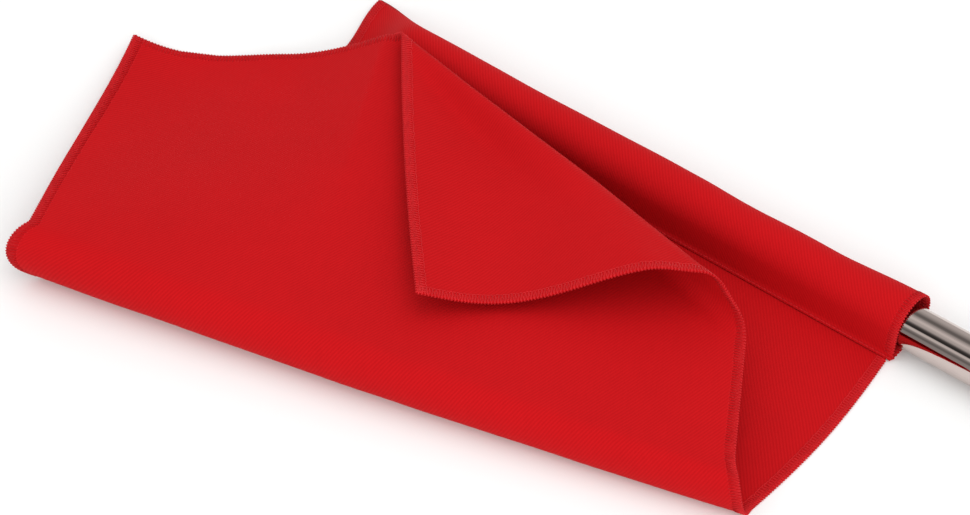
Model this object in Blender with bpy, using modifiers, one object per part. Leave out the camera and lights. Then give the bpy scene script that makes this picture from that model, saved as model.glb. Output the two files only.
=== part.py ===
"""A red hand signal flag, lying folded on a table round its steel pole.

The flag is one rectangle of twill. Its hoist is sewn to a sleeve that slips
over the pole and is sewn shut at the tip. Three edges are overlocked. The
cloth is folded twice, and each fold is a cone, as a fold in real cloth is:
the body fold turns the panel back over itself, and the corner fold turns the
free corner over once more.

Lay frame: X runs along the pole towards the hand, Y away from the panel and
Z up. The sleeve's mouth is at X = 0, the pole's axis at Y = 0 and the table
at Z = 0. The whole flag is moved at the end so that its box stands on the
origin. Cloth positions are given on the pattern: u runs along the hoist from
the tip and v from the sleeve's seam to the fly edge. Units are metres.
"""

from math import acos, asin, atan2, cos, hypot, pi, radians, sin, tau

import bmesh
import bpy
from mathutils import Matrix, Vector

# Pole
POLE_LENGTH = 0.600
TUBE_RADIUS = 0.0100
TUBE_WALL = 0.0008
TIP_INSET = 0.045
TIP_PLUG_HEAD = 0.0025
TIP_PLUG_SPIGOT = 0.0120
BUTT_CAP_LENGTH = 0.0180
BUTT_CAP_END = 0.0030
EDGE_ROUNDING = 0.0005

# Cloth
CLOTH = 0.0007
GAP = 0.0003
HOIST = 0.2906
FLY = 0.3750
SLEEVE_FLAT_WIDTH = 0.0380

# Sleeve
SLEEVE_LENGTH = 0.3130
SEAM_OFFSET = 0.0120
SLEEVE_SLACK = 0.0022
MOUTH_FLARE = 0.0020
MOUTH_FLARE_LENGTH = 0.045
TIP_TAPER = 0.040
TIP_SWEEP = 0.008
TIP_LIFT = 0.0018
TIP_CREASE = (0.46, 0.54)
SLACK_DIRECTION = radians(20)
SEAM_SHARE = 0.06

# Body fold: the ruling where it starts, its radii and how far it turns
BODY_FOLD_AT_MOUTH = 0.1075
BODY_FOLD_AT_TIP = 0.1817
BODY_FOLD_RADIUS_MOUTH = 0.0105
BODY_FOLD_RADIUS_TIP = 0.0133
BODY_FOLD_TURN = radians(180)
LOOP_PINCH = 0.0074
PINCH_REACH = 0.40
LOOP_FLARE = 0.0018
LOOP_FLARE_WIDTH = 0.050
LOOP_SPREAD = 0.0100

# Corner fold: it starts at the fly edge and ends at the mouth-side hem
CORNER_FOLD_AT_FLY = 0.1139
CORNER_FOLD_AT_HEM = 0.2111
CORNER_FOLD_RADIUS_FLY = 0.0030
CORNER_FOLD_RADIUS_HEM = 0.0114
CORNER_FOLD_TURN = radians(181.7)
ROLL_SWELL = 0.0040
ROLL_SWELL_WIDTH = 0.070

# Drape of the layers that lie free
FRONT_TURN = (2.4, 3.6)
FLY_SAG = 0.0207
CORNER_DROOP = 0.0205
CORNER_DROOP_SHARE = 0.6
SAG_REACH = 0.160
FLAP_TURN = (2.6, 5.1)
FLAP_SAG = 0.0033
FLAP_WAVE = 0.0073
FLAP_SAG_START = 0.025
LEAN_TIP = -0.105
LEAN_MOUTH = 0.026
HEM_BOW = 0.0035
HEM_BOW_SHARE = 0.6
HEM_BOW_WIDTH = 0.050
HEM_BOW_END = (0.100, 0.140)

# Thread
THREAD_RADIUS = 0.00025
CHAIN_WIDTH = 0.0010

# Mesh
FOLD_STEPS = 9
CLOTH_CELL = 0.026
ROUND_SEGMENTS = 48
SECTION_POINTS = 40
TAPER_STEPS = 9
MOUTH_STEPS = 5
END_STEPS = 16
SMALLEST_EDGE = 0.0006
SMALL_STEP = 0.0002
CROWDING = 0.25
SHARP_ANGLE = radians(40)

HALF = CLOTH / 2
SNUG_RADIUS = TUBE_RADIUS + GAP + HALF
AXIS_HEIGHT = TUBE_RADIUS + GAP + CLOTH
CAP_RADIUS = AXIS_HEIGHT
PLY_SPACING = CLOTH + GAP
POLE_TIP = TIP_INSET - SLEEVE_LENGTH
POLE_BUTT = POLE_TIP + POLE_LENGTH
TAPER_START = POLE_TIP - TIP_PLUG_HEAD - GAP
SEAM_LINE = SEAM_OFFSET + HALF + GAP + THREAD_RADIUS
PANEL_START = SEAM_LINE + THREAD_RADIUS + GAP


def smooth(value):
    """Ease from 0 to 1 as value goes from 0 to 1."""
    value = min(max(value, 0.0), 1.0)
    return value * value * (3 - 2 * value)


def eased(value, limits):
    """Ease from 0 to 1 as value goes from the first limit to the second."""
    return smooth((value - limits[0]) / (limits[1] - limits[0]))


def mix(start, end, share):
    return start + (end - start) * share


# ---------------------------------------------------------------- folding


class ConicalFold:
    """Rolls the cloth beyond one straight ruling round a cone.

    The ruling runs on the pattern from `near` to `far`, with the cone's
    radius given at both. `beyond` is any pattern point on the part that
    turns, and `side` is +1 to roll up or -1 to roll down.
    """

    def __init__(self, near, near_radius, far, far_radius, beyond, turn, side):
        length = hypot(far[0] - near[0], far[1] - near[1])
        along = Vector(((far[0] - near[0]) / length, (far[1] - near[1]) / length, 0))
        self.slope = (far_radius - near_radius) / length
        self.apex = Vector((near[0], near[1], 0)) - along * (near_radius / self.slope)
        self.along = along
        self.across = Vector((-along.y, along.x, 0))
        reach = Vector((beyond[0] - near[0], beyond[1] - near[1], 0))
        self.hand = 1 if reach.dot(self.across) > 0 else -1
        self.side = side
        self.turn = turn
        self.axis = along * cos(asin(self.slope)) + Vector((0, 0, side * self.slope))

    def turned(self, u, v):
        """The angle turned at a pattern point: below 0 before the fold."""
        reach = Vector((u, v, 0)) - self.apex
        swept = atan2(reach.dot(self.across) * self.hand, reach.dot(self.along))
        return swept / self.slope

    def rolled(self, point, u, v):
        turned = min(max(self.turned(u, v), 0.0), self.turn)
        flat = Matrix.Rotation(-self.hand * turned * self.slope, 3, "Z")
        roll = Matrix.Rotation(self.side * self.hand * turned, 3, self.axis)
        return self.apex + roll @ (flat @ (point - self.apex))

    def ruling(self, turned):
        """A point and a normal, on the pattern, of the ruling at this turn."""
        swept = Matrix.Rotation(self.hand * turned * self.slope, 3, "Z")
        return self.apex, swept @ self.across


body_fold = ConicalFold(
    near=(HOIST, BODY_FOLD_AT_MOUTH),
    near_radius=BODY_FOLD_RADIUS_MOUTH,
    far=(0, BODY_FOLD_AT_TIP),
    far_radius=BODY_FOLD_RADIUS_TIP,
    beyond=(HOIST / 2, FLY),
    turn=BODY_FOLD_TURN,
    side=1,
)
corner_fold = ConicalFold(
    near=(CORNER_FOLD_AT_FLY, FLY),
    near_radius=CORNER_FOLD_RADIUS_FLY,
    far=(HOIST, CORNER_FOLD_AT_HEM),
    far_radius=CORNER_FOLD_RADIUS_HEM,
    beyond=(HOIST, FLY),
    turn=CORNER_FOLD_TURN,
    side=-1,
)


def drape(u, v):
    """How far the free layers hang below their unbent place."""
    on_front = eased(body_fold.turned(u, v), FRONT_TURN)
    near_fly = smooth((v - (FLY - SAG_REACH)) / SAG_REACH)
    span = min(u / CORNER_FOLD_AT_FLY, 1.0)
    hang = FLY_SAG * sin(pi * max(span, 0.0))
    hang += CORNER_DROOP * smooth(1 - span / CORNER_DROOP_SHARE)
    on_flap = eased(corner_fold.turned(u, v), FLAP_TURN)
    flap_start = CORNER_FOLD_AT_HEM + FLAP_SAG_START
    along_flap = min(max((v - flap_start) / (FLY - flap_start), 0.0), 1.0)
    flap = FLAP_SAG * sin(pi * along_flap) - FLAP_WAVE * sin(tau * along_flap)
    return on_front * near_fly * hang + on_flap * flap


def turned_share(fold, u, v):
    return min(max(fold.turned(u, v) / fold.turn, 0.0), 1.0)


def hem_bow(u, v):
    """How far the mouth-side hem bows out where it lies on the table."""
    near_mouth = smooth((u - HOIST + HEM_BOW_WIDTH) / HEM_BOW_WIDTH)
    on_table = 1 - eased(v, HEM_BOW_END)
    bow = sin(pi * min(v / BODY_FOLD_AT_MOUTH, 1.0)) - HEM_BOW_SHARE
    return HEM_BOW * near_mouth * on_table * bow


def loop_pinch(u, v):
    """How far the loop is pressed in at its mouth end, or let out at its tip end."""
    pressed = LOOP_PINCH * (u / HOIST) ** 2
    pressed -= LOOP_FLARE * smooth(1 - u / LOOP_FLARE_WIDTH)
    share = (body_fold.turned(u, v) / BODY_FOLD_TURN + PINCH_REACH) / (1 + 2 * PINCH_REACH)
    return pressed * sin(pi * min(max(share, 0.0), 1.0)) ** 2


def folded(u, v):
    """Where a pattern point lies once both folds are made."""
    point = corner_fold.rolled(Vector((u, v, 0)), u, v)
    point = body_fold.rolled(point, u, v)
    lean = mix(LEAN_TIP, LEAN_MOUTH, min(max(u / HOIST, 0.0), 1.0))
    near_tip = smooth(1 - u / LOOP_FLARE_WIDTH)
    spread = LOOP_SPREAD * near_tip * sin(pi * turned_share(body_fold, u, v))
    x = point.x - HOIST + lean * point.y - spread + hem_bow(u, v)
    y = loop_pinch(u, v) - SEAM_OFFSET - point.y
    return Vector((x, y, point.z + HALF - drape(u, v)))


def cloth_normal(u, v, step=SMALL_STEP):
    """The side of the cloth that faces up where the panel leaves the seam."""
    across = folded(u + step, v) - folded(u - step, v)
    down = folded(u, v + step) - folded(u, v - step)
    return down.cross(across).normalized()


def roll_swell(u, v):
    """How far the corner's roll swells out at its open end."""
    swell = ROLL_SWELL * smooth((u - HOIST + ROLL_SWELL_WIDTH) / ROLL_SWELL_WIDTH)
    return swell * sin(pi * turned_share(corner_fold, u, v)) ** 2


def laid(u, v):
    """The final place of a pattern point, on the cloth's mid-surface."""
    point = folded(u, v) - cloth_normal(u, v) * roll_swell(u, v)
    point.z = max(point.z, HALF)
    return point


# ---------------------------------------------------------------- scene


def clear_scene():
    for obj in list(bpy.data.objects):
        bpy.data.objects.remove(obj, do_unlink=True)


def material(name, colour, roughness, metallic=0.0):
    made = bpy.data.materials.new(name)
    made.use_nodes = True
    shader = made.node_tree.nodes["Principled BSDF"]
    shader.inputs["Base Color"].default_value = (*colour, 1.0)
    shader.inputs["Roughness"].default_value = roughness
    shader.inputs["Metallic"].default_value = metallic
    return made


def collection(name):
    made = bpy.data.collections.new(name)
    bpy.context.scene.collection.children.link(made)
    return made


def empty(name, place, parent, group):
    made = bpy.data.objects.new(name, None)
    made.empty_display_size = 0.02
    made.location = place
    made.parent = parent
    group.objects.link(made)
    return made


def piece(name, mesh, parent, look, group):
    """An object whose mesh is given in the frame of its parent empty."""
    made = bpy.data.objects.new(name, mesh)
    made.parent = parent
    mesh.materials.append(look)
    group.objects.link(made)
    return made


def finished_mesh(bm, name, moved=(0, 0, 0)):
    """Turns a bmesh into a mesh whose coordinates start at `moved`."""
    bmesh.ops.recalc_face_normals(bm, faces=bm.faces)
    bmesh.ops.translate(bm, verts=bm.verts, vec=-Vector(moved))
    mesh = bpy.data.meshes.new(name)
    bm.to_mesh(mesh)
    bm.free()
    mesh.shade_smooth()
    mesh.set_sharp_from_angle(angle=SHARP_ANGLE)
    return mesh


def thicken(obj, thickness):
    wall = obj.modifiers.new("cloth_thickness", "SOLIDIFY")
    wall.thickness = thickness
    wall.offset = 0
    wall.use_even_offset = True
    return wall


# ---------------------------------------------------------------- pole


def turned_mesh(name, profile, closed):
    """A solid turned round the X axis from (along, radius) points.

    The profile runs round the section so that every face points out. An open
    profile starts and ends on the axis.
    """
    bm = bmesh.new()
    points = [bm.verts.new((along, 0, radius)) for along, radius in profile]
    pairs = list(zip(points, points[1:]))
    if closed:
        pairs.append((points[-1], points[0]))
    edges = [bm.edges.new(pair) for pair in pairs]
    bmesh.ops.spin(
        bm,
        geom=points + edges,
        cent=(0, 0, 0),
        axis=(1, 0, 0),
        angle=tau,
        steps=ROUND_SEGMENTS,
        use_merge=True,
    )
    bmesh.ops.remove_doubles(bm, verts=bm.verts, dist=0.00001)
    return finished_mesh(bm, name)


def tube_profile():
    inner = TUBE_RADIUS - TUBE_WALL
    chamfer = TUBE_WALL / 4
    return [
        (POLE_TIP, inner),
        (POLE_TIP, TUBE_RADIUS - chamfer),
        (POLE_TIP + chamfer, TUBE_RADIUS),
        (POLE_BUTT - chamfer, TUBE_RADIUS),
        (POLE_BUTT, TUBE_RADIUS - chamfer),
        (POLE_BUTT, inner),
    ]


def tip_plug_profile():
    spigot = TUBE_RADIUS - TUBE_WALL - GAP
    seat = POLE_TIP - GAP
    head = seat - TIP_PLUG_HEAD
    inner_end = seat + TIP_PLUG_SPIGOT
    return [
        (head, 0),
        (head, TUBE_RADIUS - 2 * EDGE_ROUNDING),
        (head + EDGE_ROUNDING, TUBE_RADIUS - EDGE_ROUNDING / 2),
        (head + 2 * EDGE_ROUNDING, TUBE_RADIUS),
        (seat, TUBE_RADIUS),
        (seat, spigot),
        (inner_end - 2 * EDGE_ROUNDING, spigot),
        (inner_end, spigot - EDGE_ROUNDING),
        (inner_end, 0),
    ]


def butt_cap_profile():
    bore = TUBE_RADIUS + GAP
    floor = POLE_BUTT + GAP
    outside = floor + BUTT_CAP_END
    mouth = floor - BUTT_CAP_LENGTH
    return [
        (floor, 0),
        (floor, bore),
        (mouth, bore),
        (mouth, CAP_RADIUS),
        (outside - 2 * EDGE_ROUNDING, CAP_RADIUS),
        (outside - EDGE_ROUNDING, CAP_RADIUS - EDGE_ROUNDING / 2),
        (outside, CAP_RADIUS - 2 * EDGE_ROUNDING),
        (outside, 0),
    ]


def make_pole(axis, group, looks):
    tube = turned_mesh("pole_tube", tube_profile(), closed=True)
    piece("pole_tube", tube, axis, looks["steel"], group)
    plug = turned_mesh("tip_plug", tip_plug_profile(), closed=False)
    piece("tip_plug", plug, axis, looks["plastic"], group)
    cap = turned_mesh("butt_cap", butt_cap_profile(), closed=False)
    piece("butt_cap", cap, axis, looks["plastic"], group)


# ---------------------------------------------------------------- sleeve


def round_section(share, slack):
    """The sleeve's section round the pole, relative to the pole's axis.

    share runs from 0 at the seam's lower ply, under the pole, round its far
    side and over the top to 1 at the seam's upper ply.
    """
    corner = Vector((-SEAM_OFFSET, HALF + PLY_SPACING - AXIS_HEIGHT))
    corner_angle = atan2(corner.y, corner.x) % tau
    corner_reach = corner.length
    tangent = acos(SNUG_RADIUS / corner_reach)
    angle = corner_angle + share * tau
    off_corner = min(share, 1 - share) * tau
    reach = SNUG_RADIUS
    if off_corner < tangent:
        reach = SNUG_RADIUS / cos(tangent - off_corner)
    bulge = (0.5 + 0.5 * cos(angle - SLACK_DIRECTION)) ** 2
    reach += slack * bulge
    lower_ply = PLY_SPACING * (1 - smooth(share / SEAM_SHARE))
    height = max(reach * sin(angle) - lower_ply, HALF - AXIS_HEIGHT)
    return Vector((reach * cos(angle), height))


def flat_section(share):
    """The section where the sleeve's end is pressed flat on the table."""
    across = -SEAM_OFFSET + SLEEVE_FLAT_WIDTH * min(share, 1 - share) * 2
    ply = PLY_SPACING * eased(share, TIP_CREASE)
    lift = TIP_LIFT * (across + SEAM_OFFSET) / SLEEVE_FLAT_WIDTH
    return Vector((across, HALF - AXIS_HEIGHT + ply + lift))


def sleeve_point(x, share):
    """A point of the sleeve's mid-surface, relative to the pole's axis."""
    flare = MOUTH_FLARE * smooth((x + MOUTH_FLARE_LENGTH) / MOUTH_FLARE_LENGTH)
    flatness = smooth((TAPER_START - x) / TIP_TAPER)
    rounded = round_section(share, SLEEVE_SLACK + flare)
    section = rounded.lerp(flat_section(share), flatness)
    towards_seam = smooth(1 - (section.x + SEAM_OFFSET) / SLEEVE_FLAT_WIDTH)
    swept = x + TIP_SWEEP * flatness * towards_seam
    return Vector((swept, section.x, section.y))


def sleeve_shares():
    """Where the section's points lie, closer together at its corners."""
    even = [index / (SECTION_POINTS - 1) for index in range(SECTION_POINTS)]
    return [mix(share, smooth(share), CROWDING) for share in even]


def sleeve_strip(stations):
    """A mid-surface through these stations along the pole, seam edge closed."""
    bm = bmesh.new()
    rows = []
    for x in stations:
        rows.append([bm.verts.new(sleeve_point(x, share)) for share in sleeve_shares()])
    for row, following in zip(rows, rows[1:]):
        for index in range(SECTION_POINTS):
            after = (index + 1) % SECTION_POINTS
            corners = (row[index], following[index], following[after], row[after])
            bm.faces.new(corners)
    return bm


def stations(start, end, steps):
    return [mix(start, end, index / steps) for index in range(steps + 1)]


def make_sleeve(axis, group, looks):
    taper = stations(-SLEEVE_LENGTH, TAPER_START, TAPER_STEPS)
    bm = sleeve_strip(taper + stations(-MOUTH_FLARE_LENGTH, 0, MOUTH_STEPS))
    rims = [edge for edge in bm.edges if edge.is_boundary]
    closed_end = [edge for edge in rims if edge.verts[0].co.x < TAPER_START]
    bmesh.ops.edgeloop_fill(bm, edges=closed_end)
    bmesh.ops.triangulate(bm, faces=bm.faces)
    mesh = finished_mesh(bm, "pole_sleeve")
    sleeve = piece("pole_sleeve", mesh, axis, looks["cloth"], group)
    thicken(sleeve, CLOTH)

    ring = sleeve_strip([GAP, GAP + CHAIN_WIDTH])
    bmesh.ops.triangulate(ring, faces=ring.faces)
    mesh = finished_mesh(ring, "sleeve_mouth_overlock")
    mouth = piece("sleeve_mouth_overlock", mesh, axis, looks["thread"], group)
    thicken(mouth, CLOTH)

    make_tip_stitching(axis, group, looks)
    make_seam_stitching(axis, group, looks)


def make_tip_stitching(axis, group, looks):
    """The chain that closes the sleeve's flat end, just beyond the cloth."""
    beyond = Vector((HALF + GAP + CHAIN_WIDTH / 2, 0, 0))
    width = Vector((CHAIN_WIDTH / 2, 0, 0))
    bm = bmesh.new()
    rows = []
    for share in stations(0, 0.5, END_STEPS):
        lower = sleeve_point(-SLEEVE_LENGTH, share)
        upper = sleeve_point(-SLEEVE_LENGTH, 1 - share)
        place = (lower + upper) / 2 - beyond
        rows.append((bm.verts.new(place - width), bm.verts.new(place + width)))
    for row, following in zip(rows, rows[1:]):
        bm.faces.new((row[0], row[1], following[1], following[0]))
    mesh = finished_mesh(bm, "sleeve_tip_stitching")
    stitching = piece("sleeve_tip_stitching", mesh, axis, looks["thread"], group)
    thicken(stitching, 2 * CLOTH + GAP)


def make_seam_stitching(axis, group, looks):
    """The row of stitches between sleeve and panel, which the panel swings on."""
    bm = bmesh.new()
    length = SLEEVE_LENGTH - TIP_SWEEP
    turn = Matrix.Rotation(pi / 2, 4, "Y")
    centre = Vector((-length / 2, -SEAM_LINE, HALF - AXIS_HEIGHT))
    bmesh.ops.create_cone(
        bm,
        cap_ends=True,
        segments=12,
        radius1=THREAD_RADIUS,
        radius2=THREAD_RADIUS,
        depth=length,
        matrix=Matrix.Translation(centre) @ turn,
    )
    mesh = finished_mesh(bm, "sleeve_seam_stitching")
    piece("sleeve_seam_stitching", mesh, axis, looks["thread"], group)


# ---------------------------------------------------------------- panel


def cut(bm, point, normal):
    """Cuts the flat pattern along the line through point, square to normal."""
    geometry = bm.verts[:] + bm.edges[:] + bm.faces[:]
    bmesh.ops.bisect_plane(bm, geom=geometry, plane_co=point, plane_no=normal, dist=1e-7)


def pattern_piece(u_range, v_range):
    """A flat piece of the pattern, cut along the rulings of both folds."""
    bm = bmesh.new()
    centre = Vector(((u_range[0] + u_range[1]) / 2, (v_range[0] + v_range[1]) / 2, 0))
    size = (u_range[1] - u_range[0], v_range[1] - v_range[0])
    stretch = Matrix.Translation(centre) @ Matrix.Diagonal((size[0] / 2, size[1] / 2, 1, 1))
    bmesh.ops.create_grid(bm, x_segments=1, y_segments=1, size=1, matrix=stretch)
    for fold in (body_fold, corner_fold):
        for step in range(FOLD_STEPS + 1):
            cut(bm, *fold.ruling(fold.turn * step / FOLD_STEPS))
    for direction in (0, 1):
        cells = int((HOIST, FLY)[direction] / CLOTH_CELL)
        for index in range(1, cells):
            place = Vector((0, 0, 0))
            place[direction] = (HOIST, FLY)[direction] * index / cells
            normal = Vector((0, 0, 0))
            normal[direction] = 1
            cut(bm, place, normal)
    sliver = min(SMALLEST_EDGE, min(size) / 6)
    bmesh.ops.dissolve_degenerate(bm, dist=sliver, edges=bm.edges)
    bmesh.ops.triangulate(bm, faces=bm.faces)
    return bm


def cloth_piece(name, u_range, v_range, hinge, look, group):
    """A piece of the pattern folded up, with its origin on the seam's hinge."""
    bm = pattern_piece(u_range, v_range)
    for vert in bm.verts:
        vert.co = laid(vert.co.x, vert.co.y)
    mesh = finished_mesh(bm, name, moved=hinge.matrix_world.translation)
    thicken(piece(name, mesh, hinge, look, group), CLOTH)


def make_panel(hinge, group, looks):
    start = PANEL_START - SEAM_OFFSET
    chain = (GAP, GAP + CHAIN_WIDTH)
    whole_v = (start, FLY)
    cloth_piece("flag_panel", (0, HOIST), whole_v, hinge, looks["cloth"], group)
    tip_u = (-chain[1], -chain[0])
    cloth_piece("tip_hem_overlock", tip_u, whole_v, hinge, looks["thread"], group)
    mouth_u = (HOIST + chain[0], HOIST + chain[1])
    cloth_piece("mouth_hem_overlock", mouth_u, whole_v, hinge, looks["thread"], group)
    fly_u = (-chain[1], HOIST + chain[1])
    fly_v = (FLY + chain[0], FLY + chain[1])
    cloth_piece("fly_hem_overlock", fly_u, fly_v, hinge, looks["thread"], group)


# ---------------------------------------------------------------- whole


def stand_on_origin(root, group):
    """Moves the root so that the box of every piece is centred on the origin."""
    bpy.context.view_layer.update()
    graph = bpy.context.evaluated_depsgraph_get()
    corners = []
    for obj in group.objects:
        if obj.type == "MESH":
            solid = obj.evaluated_get(graph)
            mesh = solid.to_mesh()
            corners += [solid.matrix_world @ vert.co for vert in mesh.vertices]
            solid.to_mesh_clear()
    low = [min(corner[axis] for corner in corners) for axis in range(3)]
    high = [max(corner[axis] for corner in corners) for axis in range(3)]
    root.location = (-(low[0] + high[0]) / 2, -(low[1] + high[1]) / 2, -low[2])
    bpy.context.view_layer.update()


def main():
    clear_scene()
    looks = {
        "steel": material("polished_steel", (0.62, 0.59, 0.57), 0.18, 1.0),
        "plastic": material("black_plastic", (0.02, 0.02, 0.02), 0.45),
        "cloth": material("red_twill", (0.58, 0.008, 0.012), 0.85),
        "thread": material("red_thread", (0.62, 0.012, 0.016), 0.75),
    }
    group = collection("hand_signal_flag")
    root = empty("lay_frame", (0, 0, 0), None, group)
    axis = empty("pole_axis", (0, 0, AXIS_HEIGHT), root, group)
    hinge = empty("seam_hinge", (0, -SEAM_LINE, HALF), root, group)
    bpy.context.view_layer.update()
    make_pole(axis, group, looks)
    make_sleeve(axis, group, looks)
    make_panel(hinge, group, looks)
    stand_on_origin(root, group)


main()
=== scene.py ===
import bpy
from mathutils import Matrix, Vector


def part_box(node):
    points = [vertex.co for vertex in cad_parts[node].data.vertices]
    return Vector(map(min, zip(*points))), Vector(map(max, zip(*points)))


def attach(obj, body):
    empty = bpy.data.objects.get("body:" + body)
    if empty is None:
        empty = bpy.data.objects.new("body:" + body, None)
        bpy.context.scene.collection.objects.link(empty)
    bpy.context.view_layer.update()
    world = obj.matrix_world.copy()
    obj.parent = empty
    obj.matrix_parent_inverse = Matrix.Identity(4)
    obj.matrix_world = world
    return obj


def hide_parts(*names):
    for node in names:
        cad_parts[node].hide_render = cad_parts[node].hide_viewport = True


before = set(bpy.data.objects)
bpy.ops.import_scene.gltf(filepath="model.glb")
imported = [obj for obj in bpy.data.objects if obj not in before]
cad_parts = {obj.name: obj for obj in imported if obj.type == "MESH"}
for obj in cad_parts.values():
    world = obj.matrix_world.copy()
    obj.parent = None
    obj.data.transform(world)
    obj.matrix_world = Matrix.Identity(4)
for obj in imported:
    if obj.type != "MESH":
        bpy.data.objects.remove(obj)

"""A red hand signal flag, lying folded round its polished steel pole.

The panel is one rectangle of twill with three overlocked edges. Its hoist is
sewn to a sleeve that slips over the pole. Cloth is placed on the pattern: u
runs along the hoist from the pole's tip and v from the sleeve's seam to the
fly edge. Each fold is a cone, so the cloth bends without stretching. Units
are metres.
"""

from math import acos, asin, atan2, cos, hypot, pi, radians, sin, sqrt, tau

import bmesh
import bpy
from bpy.props import FloatProperty, FloatVectorProperty, IntProperty, PointerProperty
from mathutils import Matrix, Vector, noise

bl_info = {
    "name": "Hand Signal Flag",
    "version": (1, 0, 0),
    "blender": (4, 5, 0),
    "location": "3D View > Sidebar > Hand Flag",
    "description": "Makes a folded twill hand flag, its steel pole and a plain stage",
    "category": "Add Mesh",
}

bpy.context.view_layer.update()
TUBE_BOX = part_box("pole_tube")

# Pole
TUBE_RADIUS = (TUBE_BOX[1][1] - TUBE_BOX[0][1]) / 2
TUBE_WALL = 0.0008
TIP_INSET = 0.045
TIP_PLUG_HEAD = 0.0025
TIP_PLUG_SPIGOT = 0.0120
BUTT_CAP_LENGTH = 0.0180
BUTT_CAP_END = 0.0030

# Cloth as it is cut, and the room that each layer has
HOIST = 0.2906
FLY = 0.3750
SLEEVE_LENGTH = 0.3130
LAYER = 0.0007
GAP = 0.0003
HALF = LAYER / 2
PLY_SPACING = LAYER + GAP
AXIS_HEIGHT = TUBE_RADIUS + GAP + LAYER
SNUG_RADIUS = TUBE_RADIUS + GAP + HALF
POLE_TIP = TIP_INSET - SLEEVE_LENGTH
POLE_BUTT = POLE_TIP + TUBE_BOX[1][0] - TUBE_BOX[0][0]

# Where the lay frame, with the sleeve's mouth at X = 0, stands in the row
PLACE = Vector(
    (
        TUBE_BOX[0][0] - POLE_TIP,
        (TUBE_BOX[0][1] + TUBE_BOX[1][1]) / 2,
        (TUBE_BOX[0][2] + TUBE_BOX[1][2]) / 2 - AXIS_HEIGHT,
    )
)

# Sleeve
SLEEVE_FLAT_WIDTH = 0.0380
SEAM_OFFSET = 0.0120
SEAM_LAP = 0.0016
SEAM_LAP_DIP = 0.00015
SLEEVE_SLACK = 0.0022
SLACK_WANDER = 0.0009
SLACK_WANDERS_PER_METRE = 26
MOUTH_FLARE = 0.0020
MOUTH_FLARE_LENGTH = 0.045
TIP_TAPER = 0.040
TIP_SWEEP = 0.008
TIP_LIFT = 0.0018
TIP_CREASE = (0.46, 0.54)
SLACK_DIRECTION = radians(20)
SEAM_SHARE = 0.06

# Body fold
BODY_FOLD_AT_MOUTH = 0.1075
BODY_FOLD_AT_TIP = 0.1817
BODY_FOLD_RADIUS_MOUTH = 0.0105
BODY_FOLD_RADIUS_TIP = 0.0133
BODY_FOLD_TURN = radians(180)
LOOP_PINCH = 0.0074
PINCH_REACH = 0.40
LOOP_FLARE = 0.0018
LOOP_FLARE_WIDTH = 0.050
LOOP_SPREAD = 0.0100

# Corner fold
CORNER_FOLD_AT_FLY = 0.1139
CORNER_FOLD_AT_HEM = 0.2111
CORNER_FOLD_RADIUS_FLY = 0.0030
CORNER_FOLD_RADIUS_HEM = 0.0114
CORNER_FOLD_TURN = radians(181.7)
ROLL_SWELL = 0.0040
ROLL_SWELL_WIDTH = 0.070

# Drape of the layers that lie free
FRONT_TURN = (2.4, 3.6)
FLY_SAG = 0.0207
CORNER_DROOP = 0.0205
CORNER_DROOP_SHARE = 0.6
SAG_REACH = 0.160
FLAP_TURN = (2.6, 5.1)
FLAP_SAG = 0.0033
FLAP_WAVE = 0.0073
FLAP_SAG_START = 0.025
LEAN_TIP = -0.105
LEAN_MOUTH = 0.026
HEM_BOW = 0.0035
HEM_BOW_SHARE = 0.6
HEM_BOW_WIDTH = 0.050
HEM_BOW_END = (0.100, 0.140)

# Edges of the panel
PANEL_START = 0.0006
HEM_START = 0.002
HEM_ZONE = 0.007
HEM_LIFT = 0.0003
SEAM_RISE = 0.0001
SEAM_RISE_WIDTH = 0.012
SEAM_HOLD_WIDTH = 0.03

# How far along the hoist a rib of the twill runs for each step to the fly
TWILL_SLOPE = 0.84

# Stitches: how much the needle line wanders, the cross thread's bulge, how far
# the loopers' threads reach past the cut edge and how high they cross it
NEEDLE_WANDER = 0.10
CROSS_BULGE = 0.00008
EDGE_REACH = 0.0002
EDGE_RISE = 0.00012
NEEDLE_INSET = 0.0003
SEAM_STITCH_SHARE = 0.55

# Roundings of the plastic ends
PLASTIC_ROUNDING = 0.0012
CAP_MOUTH_ROUNDING = 0.0003
SPIGOT_CHAMFER = (0.001, 0.0006)

# Steps over which slopes are taken: on the pattern, round the sleeve as a
# share of its girth, and along the sleeve
PATTERN_STEP = 0.0002
GIRTH_STEP = 0.01
SLEEVE_STEP = 0.0005

# Points of a turned piece that lie closer than this are one point
MERGE_DISTANCE = 0.00001
UP = Vector((0, 0, 1))

# Camera: angles in radians, distances in metres and the sensor in millimetres
CAMERA_AZIMUTH = 0.6735
CAMERA_ELEVATION = 0.8041
CAMERA_DISTANCE = 1.4005
CAMERA_TARGET = Vector((PLACE.x - 0.17164, PLACE.y - 0.07186, 0.0))
CAMERA_SENSOR = 36
CAMERA_CLIP = 0.05

# Floor and soft lights
FLOOR_REACH = 6
LIGHT_TARGET = (-0.10, 0, 0)
KEY_PLACE = (1.1, -1.4, 1.1)
KEY_SIZE = (1.6, 1.0)
TOP_PLACE = (0.3, 0.2, 2.0)
TOP_SIZE = (2.2, 1.6)

# The room above the floor, as the tube shows it: angle over the pole from the
# far side to the near side, as a share of the half turn, and brightness.
ROOM_BANDS = (
    (0.00, 0.62),
    (0.12, 0.60),
    (0.20, 0.46),
    (0.30, 0.17),
    (0.35, 0.20),
    (0.41, 0.50),
    (0.48, 0.82),
    (0.54, 0.62),
    (0.58, 0.54),
    (0.63, 0.10),
    (0.67, 0.04),
    (0.71, 0.04),
    (0.73, 0.70),
    (0.77, 0.74),
    (0.81, 0.30),
    (0.86, 0.16),
    (0.91, 0.34),
    (1.00, 0.34),
)

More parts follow.
